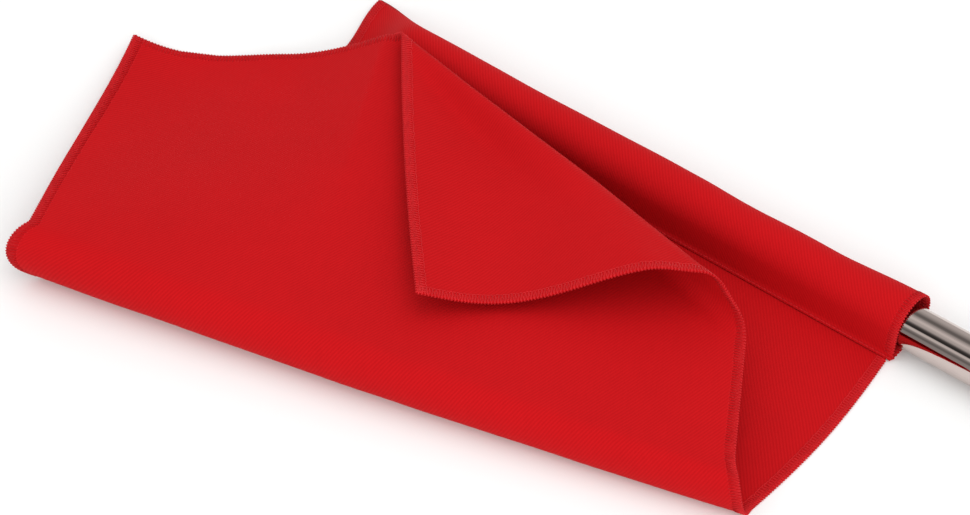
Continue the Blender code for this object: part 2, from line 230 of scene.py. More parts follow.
# Brightness of the evenly lit room round the cloth, and of the backdrop, and
# the room's warm tint
ROOM_FILL = 0.92
BACKDROP = 1.0
ROOM_TINT = (1, 0.975, 0.955)


# ---------------------------------------------------------------- settings


class HandFlagCloth(bpy.types.PropertyGroup):
    """Sizes and colour of the twill"""

    thickness: FloatProperty(
        name="Thickness",
        description="How thick the twill is",
        default=0.0005,
        min=0.0002,
        max=0.0007,
        precision=5,
        subtype="DISTANCE",
        unit="LENGTH",
    )
    cell: FloatProperty(
        name="Mesh cell",
        description="Side of one quad of the cloth's mesh",
        default=0.00175,
        min=0.0012,
        max=0.01,
        precision=5,
        subtype="DISTANCE",
        unit="LENGTH",
    )
    ripple: FloatProperty(
        name="Ripple",
        description="Height of the soft unevenness of laid cloth",
        default=0.0007,
        min=0,
        max=0.003,
        precision=5,
        subtype="DISTANCE",
        unit="LENGTH",
    )
    rib_pitch: FloatProperty(
        name="Rib pitch",
        description="Distance from one twill rib to the next",
        default=0.0013,
        min=0.0004,
        max=0.004,
        precision=5,
        subtype="DISTANCE",
        unit="LENGTH",
    )
    colour: FloatVectorProperty(
        name="Colour",
        description="Dye of the twill",
        default=(0.50, 0.0042, 0.0068),
        min=0,
        max=1,
        subtype="COLOR",
    )


class HandFlagThread(bpy.types.PropertyGroup):
    """Sizes and colour of the sewing thread"""

    radius: FloatProperty(
        name="Radius",
        description="Half of the thread's thickness",
        default=0.00019,
        min=0.0001,
        max=0.0005,
        precision=5,
        subtype="DISTANCE",
        unit="LENGTH",
    )
    overlock_pitch: FloatProperty(
        name="Overlock pitch",
        description="Distance from one overlock stitch to the next",
        default=0.0014,
        min=0.001,
        max=0.004,
        precision=5,
        subtype="DISTANCE",
        unit="LENGTH",
    )
    overlock_width: FloatProperty(
        name="Overlock width",
        description="How far the needle line lies from the cut edge",
        default=0.0042,
        min=0.002,
        max=0.007,
        precision=5,
        subtype="DISTANCE",
        unit="LENGTH",
    )
    seam_pitch: FloatProperty(
        name="Seam stitch",
        description="Length of one stitch of the seam between sleeve and panel",
        default=0.0028,
        min=0.0015,
        max=0.005,
        precision=5,
        subtype="DISTANCE",
        unit="LENGTH",
    )
    # The thread's colour is its red dye made lighter and pinker than the twill's: partly
    # painted highlight for the gloss on the loops.
    colour: FloatVectorProperty(
        name="Colour",
        description="Dye of the thread",
        default=(0.62, 0.0150, 0.0200),
        min=0,
        max=1,
        subtype="COLOR",
    )


class HandFlagPole(bpy.types.PropertyGroup):
    """Roundness and finish of the tube and of its two plastic ends"""

    segments: IntProperty(
        name="Segments",
        description="Sides of the turned pieces",
        default=128,
        min=24,
        max=256,
    )
    steel: FloatVectorProperty(
        name="Steel",
        description="Reflection colour of the polished tube",
        default=(0.62, 0.53, 0.50),
        min=0,
        max=1,
        subtype="COLOR",
    )
    plastic: FloatVectorProperty(
        name="Plastic",
        description="Colour of the tip plug and the butt cap",
        default=(0.018, 0.018, 0.019),
        min=0,
        max=1,
        subtype="COLOR",
    )


class HandFlagStage(bpy.types.PropertyGroup):
    """Floor, lights and lens"""

    floor: FloatVectorProperty(
        name="Floor",
        description="Colour of the plain floor",
        default=(0.90, 0.90, 0.895),
        min=0,
        max=1,
        subtype="COLOR",
    )
    key_power: FloatProperty(
        name="Key light",
        description="Power of the soft light above and behind the camera",
        default=14.0,
        min=0,
        max=1000,
        subtype="POWER",
        unit="POWER",
    )
    top_power: FloatProperty(
        name="Top light",
        description="Power of the large soft light overhead",
        default=10.0,
        min=0,
        max=1000,
        subtype="POWER",
        unit="POWER",
    )
    lens: FloatProperty(
        name="Lens",
        description="Focal length of the camera",
        default=119.6,
        min=20,
        max=300,
        subtype="DISTANCE_CAMERA",
        unit="CAMERA",
    )


# ---------------------------------------------------------------- folding


def smooth(value):
    """Ease from 0 to 1 as value goes from 0 to 1."""
    value = min(max(value, 0.0), 1.0)
    return value * value * (3 - 2 * value)


def mix(start, end, share):
    return start + (end - start) * share


def eased(value, limits):
    """Ease from 0 to 1 as value goes from the first limit to the second."""
    return smooth((value - limits[0]) / (limits[1] - limits[0]))


class ConicalFold:
    """Rolls the cloth beyond one straight ruling round a cone.

    The ruling runs on the pattern from `near` to `far`, with the cone's
    radius given at both. `beyond` is any pattern point on the part that
    turns, and `side` is +1 to roll up or -1 to roll down.
    """

    def __init__(self, near, near_radius, far, far_radius, beyond, turn, side):
        length = hypot(far[0] - near[0], far[1] - near[1])
        along = Vector(((far[0] - near[0]) / length, (far[1] - near[1]) / length, 0))
        self.slope = (far_radius - near_radius) / length
        self.apex = Vector((near[0], near[1], 0)) - along * (near_radius / self.slope)
        self.along = along
        self.across = Vector((-along.y, along.x, 0))
        reach = Vector((beyond[0] - near[0], beyond[1] - near[1], 0))
        self.hand = 1 if reach.dot(self.across) > 0 else -1
        self.side = side
        self.turn = turn
        self.axis = along * cos(asin(self.slope)) + Vector((0, 0, side * self.slope))

    def turned(self, u, v):
        """The angle turned at a pattern point: below 0 before the fold."""
        reach = Vector((u, v, 0)) - self.apex
        swept = atan2(reach.dot(self.across) * self.hand, reach.dot(self.along))
        return swept / self.slope

    def rolled(self, point, u, v):
        turned = min(max(self.turned(u, v), 0.0), self.turn)
        flat = Matrix.Rotation(-self.hand * turned * self.slope, 3, "Z")
        roll = Matrix.Rotation(self.side * self.hand * turned, 3, self.axis)
        return self.apex + roll @ (flat @ (point - self.apex))


body_fold = ConicalFold(
    near=(HOIST, BODY_FOLD_AT_MOUTH),
    near_radius=BODY_FOLD_RADIUS_MOUTH,
    far=(0, BODY_FOLD_AT_TIP),
    far_radius=BODY_FOLD_RADIUS_TIP,
    beyond=(HOIST / 2, FLY),
    turn=BODY_FOLD_TURN,
    side=1,
)
corner_fold = ConicalFold(
    near=(CORNER_FOLD_AT_FLY, FLY),
    near_radius=CORNER_FOLD_RADIUS_FLY,
    far=(HOIST, CORNER_FOLD_AT_HEM),
    far_radius=CORNER_FOLD_RADIUS_HEM,
    beyond=(HOIST, FLY),
    turn=CORNER_FOLD_TURN,
    side=-1,
)


def turned_share(fold, u, v):
    return min(max(fold.turned(u, v) / fold.turn, 0.0), 1.0)


def drape(u, v):
    """How far the free layers hang below their unbent place."""
    on_front = eased(body_fold.turned(u, v), FRONT_TURN)
    near_fly = smooth((v - (FLY - SAG_REACH)) / SAG_REACH)
    span = min(u / CORNER_FOLD_AT_FLY, 1.0)
    hang = FLY_SAG * sin(pi * max(span, 0.0))
    hang += CORNER_DROOP * smooth(1 - span / CORNER_DROOP_SHARE)
    on_flap = eased(corner_fold.turned(u, v), FLAP_TURN)
    flap_start = CORNER_FOLD_AT_HEM + FLAP_SAG_START
    along_flap = min(max((v - flap_start) / (FLY - flap_start), 0.0), 1.0)
    flap = FLAP_SAG * sin(pi * along_flap) - FLAP_WAVE * sin(tau * along_flap)
    return on_front * near_fly * hang + on_flap * flap


def hem_bow(u, v):
    """How far the mouth-side hem bows out where it lies on the table."""
    near_mouth = smooth((u - HOIST + HEM_BOW_WIDTH) / HEM_BOW_WIDTH)
    on_table = 1 - eased(v, HEM_BOW_END)
    bow = sin(pi * min(v / BODY_FOLD_AT_MOUTH, 1.0)) - HEM_BOW_SHARE
    return HEM_BOW * near_mouth * on_table * bow


def loop_pinch(u, v):
    """How far the loop is pressed in at its mouth end, or let out at its tip end."""
    pressed = LOOP_PINCH * (u / HOIST) ** 2
    pressed -= LOOP_FLARE * smooth(1 - u / LOOP_FLARE_WIDTH)
    turned = body_fold.turned(u, v) / BODY_FOLD_TURN
    share = (turned + PINCH_REACH) / (1 + 2 * PINCH_REACH)
    return pressed * sin(pi * min(max(share, 0.0), 1.0)) ** 2


def folded(u, v):
    """Where a pattern point lies once both folds are made."""
    point = corner_fold.rolled(Vector((u, v, 0)), u, v)
    point = body_fold.rolled(point, u, v)
    lean = mix(LEAN_TIP, LEAN_MOUTH, min(max(u / HOIST, 0.0), 1.0))
    near_tip = smooth(1 - u / LOOP_FLARE_WIDTH)
    spread = LOOP_SPREAD * near_tip * sin(pi * turned_share(body_fold, u, v))
    x = point.x - HOIST + lean * point.y - spread + hem_bow(u, v)
    y = loop_pinch(u, v) - SEAM_OFFSET - point.y
    return Vector((x, y, point.z + HALF - drape(u, v)))


def cloth_normal(u, v, step=PATTERN_STEP):
    """The side of the cloth that faces up where the panel leaves the seam."""
    across = folded(u + step, v) - folded(u - step, v)
    down = folded(u, v + step) - folded(u, v - step)
    return down.cross(across).normalized()


def roll_swell(u, v):
    """How far the corner's roll swells out at its open end."""
    swell = ROLL_SWELL * smooth((u - HOIST + ROLL_SWELL_WIDTH) / ROLL_SWELL_WIDTH)
    return swell * sin(pi * turned_share(corner_fold, u, v)) ** 2


def ripple(u, v):
    """Soft unevenness of laid cloth, from -1 to 1."""
    broad = noise.noise(Vector((u * 14, v * 14, 1.7)))
    fine = noise.noise(Vector((u * 42, v * 30, 5.1)))
    return 0.75 * broad + 0.25 * fine


def cloth_place(u, v, height=0.0):
    """The final place of a pattern point, height above the cloth's middle."""
    settings = bpy.context.scene.hand_flag_cloth
    normal = cloth_normal(u, v)
    seam_hold = smooth(v / SEAM_HOLD_WIDTH)
    offset = settings.ripple * ripple(u, v) * seam_hold - roll_swell(u, v)
    point = folded(u, v) + normal * offset
    to_hem = min(u, HOIST - u, FLY - v)
    lowest = HALF + HEM_LIFT * smooth(1 - to_hem / HEM_ZONE)
    point.z = max(point.z, lowest) + SEAM_RISE * smooth(1 - v / SEAM_RISE_WIDTH)
    return point + normal * height + PLACE


# ---------------------------------------------------------------- sleeve shape


def round_section(share, slack):
    """The sleeve's section round the pole, relative to the pole's axis.

    share runs from 0 at the seam's lower ply, under the pole, round its far
    side and over the top to 1 at the seam's upper ply.
    """
    corner = Vector((-SEAM_OFFSET, HALF + PLY_SPACING - AXIS_HEIGHT))
    corner_angle = atan2(corner.y, corner.x) % tau
    tangent = acos(SNUG_RADIUS / corner.length)
    angle = corner_angle + share * tau
    off_corner = min(share, 1 - share) * tau
    reach = SNUG_RADIUS
    if off_corner < tangent:
        reach = SNUG_RADIUS / cos(tangent - off_corner)
    bulge = (0.5 + 0.5 * cos(angle - SLACK_DIRECTION)) ** 2
    reach += slack * bulge
    lower_ply = PLY_SPACING * (1 - smooth(share / SEAM_SHARE))
    height = max(reach * sin(angle) - lower_ply, HALF - AXIS_HEIGHT)
    return Vector((reach * cos(angle), height))


def flat_section(share):
    """The section where the sleeve's end is pressed flat on the table."""
    across = -SEAM_OFFSET + SLEEVE_FLAT_WIDTH * min(share, 1 - share) * 2
    ply = PLY_SPACING * eased(share, TIP_CREASE)
    lift = TIP_LIFT * (across + SEAM_OFFSET) / SLEEVE_FLAT_WIDTH
    return Vector((across, HALF - AXIS_HEIGHT + ply + lift))


def sleeve_middle(x, share):
    """A point of the sleeve's mid-surface, in the lay frame."""
    around = min(max(share, 0.0), 1.0)
    flare = MOUTH_FLARE * smooth((x + MOUTH_FLARE_LENGTH) / MOUTH_FLARE_LENGTH)
    wander = noise.noise(Vector((x * SLACK_WANDERS_PER_METRE, 2.3, 0)))
    slack = SLEEVE_SLACK + flare + SLACK_WANDER * wander
    flatness = smooth((POLE_TIP - TIP_PLUG_HEAD - GAP - x) / TIP_TAPER)
    rounded = round_section(around, slack)
    section = rounded.lerp(flat_section(around), flatness)
    towards_seam = smooth(1 - (section.x + SEAM_OFFSET) / SLEEVE_FLAT_WIDTH)
    swept = x + TIP_SWEEP * flatness * towards_seam
    lap = max(share - 1, 0.0) * sleeve_girth()
    across = section.x - lap
    height = section.y - smooth(lap / SEAM_LAP) * SEAM_LAP_DIP
    return Vector((swept, across, height + AXIS_HEIGHT))


def sleeve_girth():
    return 2 * SLEEVE_FLAT_WIDTH


def sleeve_place(x, share, height=0.0):
    """A point on the sleeve, height outwards from its mid-surface."""
    middle = sleeve_middle(x, share)
    if height:
        around = sleeve_middle(x, share + GIRTH_STEP) - sleeve_middle(x, share - GIRTH_STEP)
        along = sleeve_middle(x + SLEEVE_STEP, share) - sleeve_middle(x - SLEEVE_STEP, share)
        middle = middle + around.cross(along).normalized() * -height
    return middle + PLACE


# ---------------------------------------------------------------- mesh helpers


def show(name, mesh, finish, body):
    """Puts a finished mesh in the scene as a piece that moves with a body."""
    for polygon in mesh.polygons:
        polygon.use_smooth = True
    made = bpy.data.objects.new(name, mesh)
    bpy.context.scene.collection.objects.link(made)
    mesh.materials.clear()
    mesh.materials.append(finish)
    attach(made, body)
    return made


def patch(u_range, v_range, cell):
    """A flat grid over part of a pattern, with the pattern as its UV map."""
    bm = bmesh.new()
    size = (u_range[1] - u_range[0], v_range[1] - v_range[0])
    centre = Vector(((u_range[0] + u_range[1]) / 2, (v_range[0] + v_range[1]) / 2, 0))
    bmesh.ops.create_grid(
        bm,
        x_segments=max(1, round(size[0] / cell)),
        y_segments=max(1, round(size[1] / cell)),
        size=0.5,
        matrix=Matrix.Translation(centre) @ Matrix.Diagonal((*size, 1, 1)),
    )
    pattern = bm.loops.layers.uv.new("pattern")
    for face in bm.faces:
        for loop in face.loops:
            loop[pattern].uv = loop.vert.co.xy
    return bm


def cloth_mesh(bm, name, place):
    """Moves a flat patch to where the cloth lies and gives its mesh."""
    for vert in bm.verts:
        vert.co = place(vert.co.x, vert.co.y)
    mesh = bpy.data.meshes.new(name)
    bm.to_mesh(mesh)
    bm.free()
    return mesh


def thicken(obj, thickness):
    wall = obj.modifiers.new("cloth_thickness", "SOLIDIFY")
    wall.thickness = thickness
    wall.offset = 0
    wall.use_even_offset = True


def thread_mesh(name, paths, radius):
    """Round threads along the given paths, as one mesh."""
    curve = bpy.data.curves.new(name, "CURVE")
    curve.dimensions = "3D"
    curve.bevel_depth = radius
    curve.bevel_resolution = 1
    curve.use_fill_caps = True
    for path in paths:
        spline = curve.splines.new("POLY")
        spline.points.add(len(path) - 1)
        for point, place in zip(spline.points, path):
            point.co = (*place, 1)
    drawn = bpy.data.objects.new(name, curve)
    bpy.context.scene.collection.objects.link(drawn)
    graph = bpy.context.evaluated_depsgraph_get()
    mesh = bpy.data.meshes.new_from_object(drawn.evaluated_get(graph))
    bpy.data.objects.remove(drawn)
    bpy.data.curves.remove(curve)
    mesh.name = name
    return mesh


def turned_mesh(name, profile, closed):
    """A piece turned round the pole's axis from (along, radius) points."""
    bm = bmesh.new()
    points = [bm.verts.new((along, 0, radius)) for along, radius in profile]
    edges = [bm.edges.new(pair) for pair in zip(points, points[1:])]
    if closed:
        edges.append(bm.edges.new((points[-1], points[0])))
    bmesh.ops.spin(
        bm,
        geom=points + edges,
        cent=(0, 0, 0),
        axis=(1, 0, 0),
        angle=tau,
        steps=bpy.context.scene.hand_flag_pole.segments,
        use_merge=True,
    )
    bmesh.ops.remove_doubles(bm, verts=bm.verts, dist=MERGE_DISTANCE)
    bmesh.ops.recalc_face_normals(bm, faces=bm.faces)
    bmesh.ops.translate(bm, verts=bm.verts, vec=PLACE + UP * AXIS_HEIGHT)
    mesh = bpy.data.meshes.new(name)
    bm.to_mesh(mesh)
    bm.free()
    return mesh


def rounded_corner(along, radius, run, rise, size, steps=4):
    """Profile points round a corner, from a step along to a step across.

    run and rise are the directions, -1 or 1, in which the two sides of the
    corner go away from it.
    """
    points = []
    for index in range(steps + 1):
        angle = index / steps * pi / 2
        back = size * (1 - sin(angle))
        down = size * (1 - cos(angle))
        points.append((along + run * back, radius + rise * down))
    return points


# ---------------------------------------------------------------- materials


class Nodes:
    """Adds nodes to a tree and joins them, left to right."""

    def __init__(self, tree):
        self.tree = tree

    def add(self, kind, **values):
        node = self.tree.nodes.new(kind)
        for name, value in values.items():
            setattr(node, name, value)
        return node

    def feed(self, node, socket, source):
        """Links source to the socket when it's a socket, or sets its value."""
        if isinstance(source, bpy.types.NodeSocket):
            self.tree.links.new(source, node.inputs[socket])
        else:
            node.inputs[socket].default_value = source

    def math(self, operation, *values):
        node = self.add("ShaderNodeMath", operation=operation)
        for socket, value in enumerate(values):
            self.feed(node, socket, value)
        return node.outputs[0]

    def noise(self, place, scale, detail=2.0, roughness=0.5):
        node = self.add("ShaderNodeTexNoise")
        self.feed(node, "Vector", place)
        self.feed(node, "Scale", scale)
        self.feed(node, "Detail", detail)
        self.feed(node, "Roughness", roughness)
        return node.outputs["Fac"]

    def stretched(self, place, scale):
        node = self.add("ShaderNodeVectorMath", operation="MULTIPLY")
        self.feed(node, 0, place)
        self.feed(node, 1, scale)
        return node.outputs[0]

    def wave(self, turns):
        """A cosine of so many turns, from 0 to 1."""
        cosine = self.math("COSINE", self.math("MULTIPLY", turns, tau))
        return self.math("MULTIPLY_ADD", cosine, 0.5, 0.5)

    def weighted(self, *pairs):
        """The sum of each value times its weight."""
        total = 0.0
        for value, weight in pairs:
            total = self.math("MULTIPLY_ADD", value, weight, total)
        return total

    def blend(self, share, first, second):
        node = self.add("ShaderNodeMix", data_type="RGBA")
        self.feed(node, "Factor", share)
        for name, source in (("A", first), ("B", second)):
            named = [s for s in node.inputs if s.name == name and s.type == "RGBA"]
            socket = named[0]
            if isinstance(source, bpy.types.NodeSocket):
                self.tree.links.new(source, socket)
            else:
                socket.default_value = (*source, 1.0)
        return [s for s in node.outputs if s.type == "RGBA"][0]

    def spread(self, value, low, high, to_low, to_high):
        node = self.add("ShaderNodeMapRange", clamp=True)
        for socket, source in enumerate((value, low, high, to_low, to_high)):
            self.feed(node, socket, source)
        return node.outputs[0]


def new_group(name, inputs, outputs):
    """An empty shader node group with its sockets, and its two end nodes."""
    tree = bpy.data.node_groups.new(name, "ShaderNodeTree")
    for label, kind, default in inputs:
        socket = tree.interface.new_socket(label, in_out="INPUT", socket_type=kind)
        if default is not None:
            socket.default_value = default
    for label, kind in outputs:
        tree.interface.new_socket(label, in_out="OUTPUT", socket_type=kind)
    return tree, tree.nodes.new("NodeGroupInput"), tree.nodes.new("NodeGroupOutput")


def twill_group():
    """Diagonal ribs of twill, each made of short yarn floats, and its fuzz. The Shade output
    darkens the rib valleys as painted shade.
    """
    tree, given, result = new_group(
        "twill_weave",
        [
            ("Pattern", "NodeSocketVector", None),
            ("Rib Pitch", "NodeSocketFloat", 0.0013),
        ],
        [("Height", "NodeSocketFloat"), ("Shade", "NodeSocketFloat")],
    )
    n = Nodes(tree)
    parts = n.add("ShaderNodeSeparateXYZ")
    n.feed(parts, 0, given.outputs["Pattern"])
    u, v = parts.outputs[0], parts.outputs[1]
    drift = n.noise(given.outputs["Pattern"], 55.0, 2.0)
    slub = n.noise(n.stretched(given.outputs["Pattern"], (900.0, 60.0, 1.0)), 1.0, 2.0)
    across = n.math("SUBTRACT", u, n.math("MULTIPLY", v, TWILL_SLOPE))
    diagonal = n.math("DIVIDE", across, sqrt(1 + TWILL_SLOPE ** 2))
    turns = n.math("DIVIDE", diagonal, given.outputs["Rib Pitch"])
    turns = n.math("ADD", turns, n.math("MULTIPLY", drift, 0.5))
    rib = n.wave(turns)
    yarn_turns = n.math("DIVIDE", v, n.math("MULTIPLY", given.outputs["Rib Pitch"], 0.47))
    yarn = n.wave(n.math("ADD", yarn_turns, n.math("MULTIPLY", turns, 0.5)))
    fuzz = n.noise(given.outputs["Pattern"], 2600.0, 3.0, 0.7)
    floats = n.math("MULTIPLY", rib, yarn)
    height = n.weighted((rib, 0.60), (floats, 0.08), (fuzz, 0.20), (slub, 0.12))
    # Colour tone: the rib term paints shade into the valleys between ribs; slub and fuzz are
    # random tone.
    shade = n.weighted((rib, 0.50), (slub, 0.25), (fuzz, 0.25))
    tree.links.new(height, result.inputs["Height"])
    tree.links.new(shade, result.inputs["Shade"])
    return tree


def cloudy_group():
    """Slow uneven shade, for dye and for handling marks."""
    tree, given, result = new_group(
        "uneven_dye",
        [("Place", "NodeSocketVector", None), ("Scale", "NodeSocketFloat", 20.0)],
        [("Shade", "NodeSocketFloat")],
    )
    n = Nodes(tree)
    broad = n.noise(given.outputs["Place"], given.outputs["Scale"], 3.0, 0.55)
    finer = n.math("MULTIPLY", given.outputs["Scale"], 7.0)
    small = n.noise(given.outputs["Place"], finer, 2.0)
    tree.links.new(n.weighted((broad, 0.7), (small, 0.3)), result.inputs["Shade"])
    return tree


def placed_group(n, tree, **inputs):
    node = n.add("ShaderNodeGroup", node_tree=tree)
    for name, source in inputs.items():
        n.feed(node, name.replace("_", " "), source)
    return node


def shared_group(name, make):
    return bpy.data.node_groups.get(name) or make()


def cloudy(n, place, scale):
    """The shared slow shade, with so many clouds to the metre."""
    group = shared_group("uneven_dye", cloudy_group)
    return placed_group(n, group, Place=place, Scale=scale).outputs[0]


def new_material(name):
    made = bpy.data.materials.new(name)
    made.use_nodes = True
    n = Nodes(made.node_tree)
    return made, n, made.node_tree.nodes["Principled BSDF"]


def object_place(n):
    return n.add("ShaderNodeTexCoord").outputs["Object"]


def bumped(n, shader, height, strength, distance):
    node = n.add("ShaderNodeBump")
    n.feed(node, "Height", height)
    n.feed(node, "Strength", strength)
    n.feed(node, "Distance", distance)
    n.feed(shader, "Normal", node.outputs[0])


def darker(colour, share):
    return tuple(part * share for part in colour)


def twill_material():
    """Plain-dyed red twill: diagonal ribs, short fuzz, uneven dye and painted shade in the rib
    valleys.
    """
    settings = bpy.context.scene.hand_flag_cloth
    made, n, shader = new_material("red_twill")
    pattern = n.add("ShaderNodeUVMap", uv_map="pattern").outputs[0]
    weave = placed_group(
        n,
        shared_group("twill_weave", twill_group),
        Pattern=pattern,
        Rib_Pitch=settings.rib_pitch,
    )
    dye = cloudy(n, pattern, 16.0)
    # Painted shade in the rib valleys, mixed with the dye's uneven tone.
    shade = n.weighted((weave.outputs["Shade"], 0.62), (dye, 0.38))
    low = darker(tuple(settings.colour), 0.80)
    high = darker(tuple(settings.colour), 1.14)
    share = n.spread(shade, 0.12, 0.88, 0.0, 1.0)
    n.feed(shader, "Base Color", n.blend(share, low, high))
    n.feed(shader, "Roughness", n.spread(weave.outputs["Height"], 0.2, 0.9, 0.88, 0.74))
    shader.inputs["Specular IOR Level"].default_value = 0.10
    shader.inputs["Sheen Weight"].default_value = 0.05
    shader.inputs["Sheen Roughness"].default_value = 0.45
    shader.inputs["Sheen Tint"].default_value = (1.0, 0.16, 0.14, 1.0)
    bumped(n, shader, weave.outputs["Height"], 0.50, 0.00011)
    return made


def thread_material():
    """Spun thread: fine twist, a little gloss and stray fibre; its base colour is lightened as
    a painted highlight.
    """
    settings = bpy.context.scene.hand_flag_thread
    made, n, shader = new_material("red_thread")
    place = object_place(n)
    twist = n.noise(place, 3200.0, 2.0, 0.6)
    dye = cloudy(n, place, 120.0)
    shade = n.weighted((twist, 0.5), (dye, 0.5))
    low = darker(tuple(settings.colour), 0.76)
    high = darker(tuple(settings.colour), 1.22)
    n.feed(shader, "Base Color", n.blend(n.spread(shade, 0.3, 0.7, 0.0, 1.0), low, high))
    n.feed(shader, "Roughness", n.spread(twist, 0.3, 0.7, 0.52, 0.72))
    shader.inputs["Specular IOR Level"].default_value = 0.2
    shader.inputs["Sheen Weight"].default_value = 0.06
    shader.inputs["Sheen Tint"].default_value = (1.0, 0.2, 0.18, 1.0)
    bumped(n, shader, twist, 0.6, 0.00008)
    return made


def steel_material():
    """Polished stainless tube, with faint drawing lines along its length."""
    settings = bpy.context.scene.hand_flag_pole
    made, n, shader = new_material("polished_steel")
    place = object_place(n)
    lines = n.noise(n.stretched(place, (6.0, 2400.0, 2400.0)), 1.0, 3.0, 0.6)
    polish = n.noise(n.stretched(place, (900.0, 60.0, 60.0)), 1.0, 2.0)
    film = cloudy(n, place, 30.0)
    rough = n.weighted((lines, 0.5), (polish, 0.2), (film, 0.3))
    n.feed(shader, "Roughness", n.spread(rough, 0.3, 0.7, 0.02, 0.06))
    steel = tuple(settings.steel)
    tone = n.spread(lines, 0.3, 0.7, 0.0, 1.0)
    n.feed(shader, "Base Color", n.blend(tone, darker(steel, 0.94), steel))
    shader.inputs["Metallic"].default_value = 1.0
    bumped(n, shader, lines, 0.12, 0.00002)
    return made


def plastic_material():
    """Satin moulded plastic with a fine spark-eroded grain."""
    settings = bpy.context.scene.hand_flag_pole
    made, n, shader = new_material("black_plastic")
    place = object_place(n)
    grain = n.noise(place, 1500.0, 3.0, 0.6)
    scuff = cloudy(n, place, 90.0)
    dark = tuple(settings.plastic)
    worn = n.spread(scuff, 0.45, 0.7, 0.0, 1.0)
    n.feed(shader, "Base Color", n.blend(worn, dark, darker(dark, 1.9)))
    n.feed(shader, "Roughness", n.spread(grain, 0.3, 0.7, 0.38, 0.55))
    bumped(n, shader, grain, 0.35, 0.00005)
    return made


def floor_material():
    """Matt pale studio floor."""
    made, n, shader = new_material("pale_floor")
    pale = tuple(bpy.context.scene.hand_flag_stage.floor)
    tone = cloudy(n, object_place(n), 3.0)
    share = n.spread(tone, 0.3, 0.7, 0.0, 1.0)
    n.feed(shader, "Base Color", n.blend(share, darker(pale, 0.99), pale))
    shader.inputs["Roughness"].default_value = 0.9
    shader.inputs["Specular IOR Level"].default_value = 0.1
    return made


def look(name, make):
    return bpy.data.materials.get(name) or make()


# ---------------------------------------------------------------- pieces


def overlock(length, place, settings, cloth_half):
    """The three threads of an overlocked edge.

    place(along, inward, height) gives a point by how far it lies along the
    edge, in from the cut and above the cloth's middle.
    """
    pitch = length / max(1, round(length / settings.overlock_pitch))
    count = round(length / pitch)
    over = cloth_half + 0.45 * settings.radius
    wide = settings.overlock_width
    past = -EDGE_REACH
    upper, lower, needle = [], [], []
    for index in range(count):
        start = index * pitch
        sway = noise.noise(Vector((start * 900, length * 50, 0.3)))
        inner = wide * (1 + NEEDLE_WANDER * sway)
        upper += [
            place(start + 0.02 * pitch, inner, over * 0.5),
            place(start + 0.10 * pitch, inner - NEEDLE_INSET, over),
            place(start + 0.30 * pitch, wide * 0.45, over + CROSS_BULGE),
            place(start + 0.48 * pitch, past * 0.3, over * 1.1),
            place(start + 0.55 * pitch, past * 1.4, 0.0),
            place(start + 0.66 * pitch, past * 0.3, over * 1.1),
            place(start + 0.82 * pitch, wide * 0.45, over),
        ]
        lower += [
            place(start + 0.10 * pitch, inner - NEEDLE_INSET, -over),
            place(start + 0.38 * pitch, past * 0.6, -over),
            place(start + 0.50 * pitch, past * 1.9, EDGE_RISE),
            place(start + 0.66 * pitch, past * 0.6, -over),
        ]
        needle += [
            place(start + 0.04 * pitch, inner, -over * 0.6),
            place(start + 0.16 * pitch, inner, over * 1.15),
            place(start + 0.80 * pitch, inner, over * 1.15),
            place(start + 0.94 * pitch, inner, -over * 0.6),
        ]
    return [upper, lower, needle]


def sewn(name, node, paths, radius, body):
    """A piece of sewing thread that stands for a node of the frame."""
    mesh = thread_mesh(name, paths, radius)
    made = show(name, mesh, look("red_thread", thread_material), body)
    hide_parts(node)
    return made


class HAND_FLAG_OT_panel(bpy.types.Operator):
    """Makes the twill panel, folded over and once more at its corner"""

    bl_idname = "hand_flag.panel"
    bl_label = "Panel"

    def execute(self, context):
        settings = context.scene.hand_flag_cloth
        bm = patch((0, HOIST), (PANEL_START, FLY), settings.cell)
        mesh = cloth_mesh(bm, "flag_cloth", cloth_place)
        cloth = look("red_twill", twill_material)
        panel = show("flag_cloth", mesh, cloth, "flag")
        thicken(panel, settings.thickness)
        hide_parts("flag_panel")
        return {"FINISHED"}


class HAND_FLAG_OT_hems(bpy.types.Operator):
    """Sews the overlock threads along the panel's three free edges"""

    bl_idname = "hand_flag.hems"
    bl_label = "Hem Threads"

    def execute(self, context):
        settings = context.scene.hand_flag_thread
        half = context.scene.hand_flag_cloth.thickness / 2
        side = FLY - HEM_START

        def on_tip_hem(along, inward, height):
            return cloth_place(inward, HEM_START + along, height)

        def on_mouth_hem(along, inward, height):
            return cloth_place(HOIST - inward, HEM_START + along, height)

        def on_fly_hem(along, inward, height):
            return cloth_place(along, FLY - inward, height)

        edges = (
            ("tip_hem_threads", "tip_hem_overlock", side, on_tip_hem),
            ("mouth_hem_threads", "mouth_hem_overlock", side, on_mouth_hem),
            ("fly_hem_threads", "fly_hem_overlock", HOIST, on_fly_hem),
        )
        for name, node, length, place in edges:
            paths = overlock(length, place, settings, half)
            sewn(name, node, paths, settings.radius, "flag")
        return {"FINISHED"}


